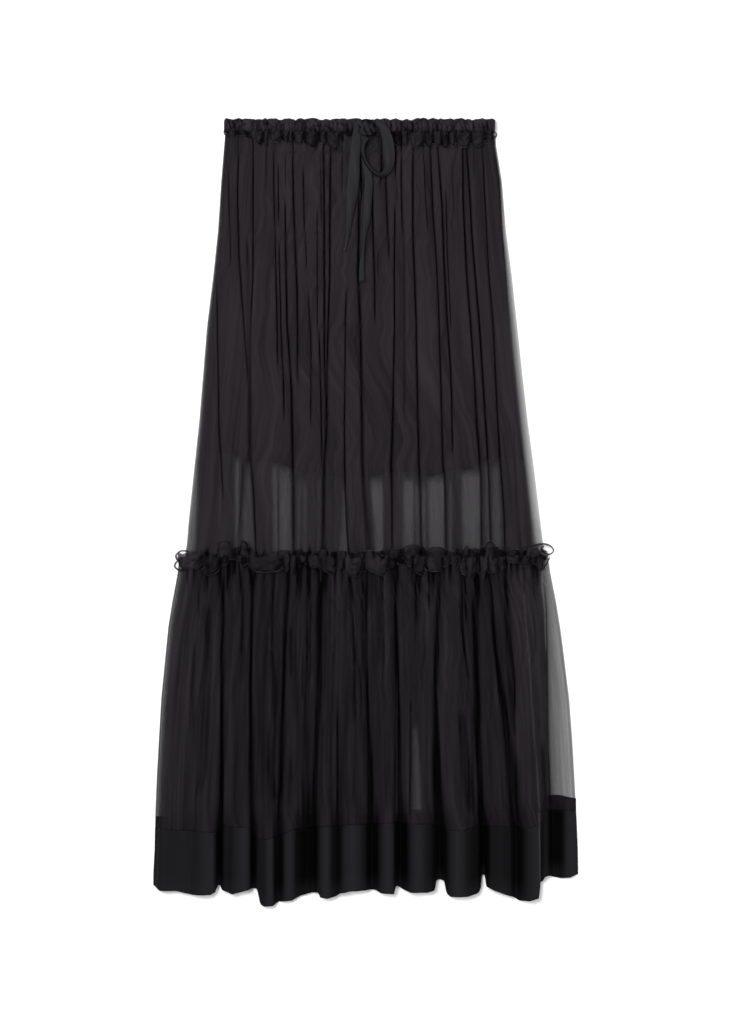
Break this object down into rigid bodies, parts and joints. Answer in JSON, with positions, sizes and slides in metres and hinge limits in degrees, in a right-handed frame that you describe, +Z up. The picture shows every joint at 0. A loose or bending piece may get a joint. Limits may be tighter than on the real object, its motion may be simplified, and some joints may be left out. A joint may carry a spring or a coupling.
{
  "type": "tiered maxi skirt, laid flat",
  "caption": "Long gathered skirt laid flat: a drawstring waist, a folded sheer tier over a short slip, a frill at the tier seam, and a fuller lower tier with a satin hem band.",
  "frame": {"origin": "on the surface that the skirt lies on, under the middle of the whole garment", "axes": "+Y runs up the skirt to the waist, +Z up from the surface through the back to the front, +X to the right of a viewer who looks down at the front with the waist at the top"},
  "size_m": [0.5401, 1, 0.0236],
  "materials": {
    "chiffon": "sheer black crepe chiffon, matt, with a fine slubbed grain",
    "satin": "opaque black satin with a soft broad sheen",
    "lining": "opaque black plain-weave slip lining, matt",
    "ribbon": "black chiffon ribbon, folded double, matt"
  },
  "bodies": {
    "root": {"waist_casing_front": "chiffon", "waist_casing_back": "chiffon", "waist_frill_front": "chiffon", "waist_frill_back": "chiffon", "upper_tier_front": "chiffon", "upper_tier_back": "chiffon", "lining_front": "lining", "lining_back": "lining", "tier_frill_front": "chiffon", "tier_frill_back": "chiffon", "lower_tier_front": "chiffon", "lower_tier_back": "chiffon", "hem_band_front": "satin", "hem_band_back": "satin", "drawstring_knot": "ribbon", "drawstring_loop": "ribbon", "drawstring_tail_left": "ribbon", "drawstring_tail_right": "ribbon"}
  },
  "joints": []
}
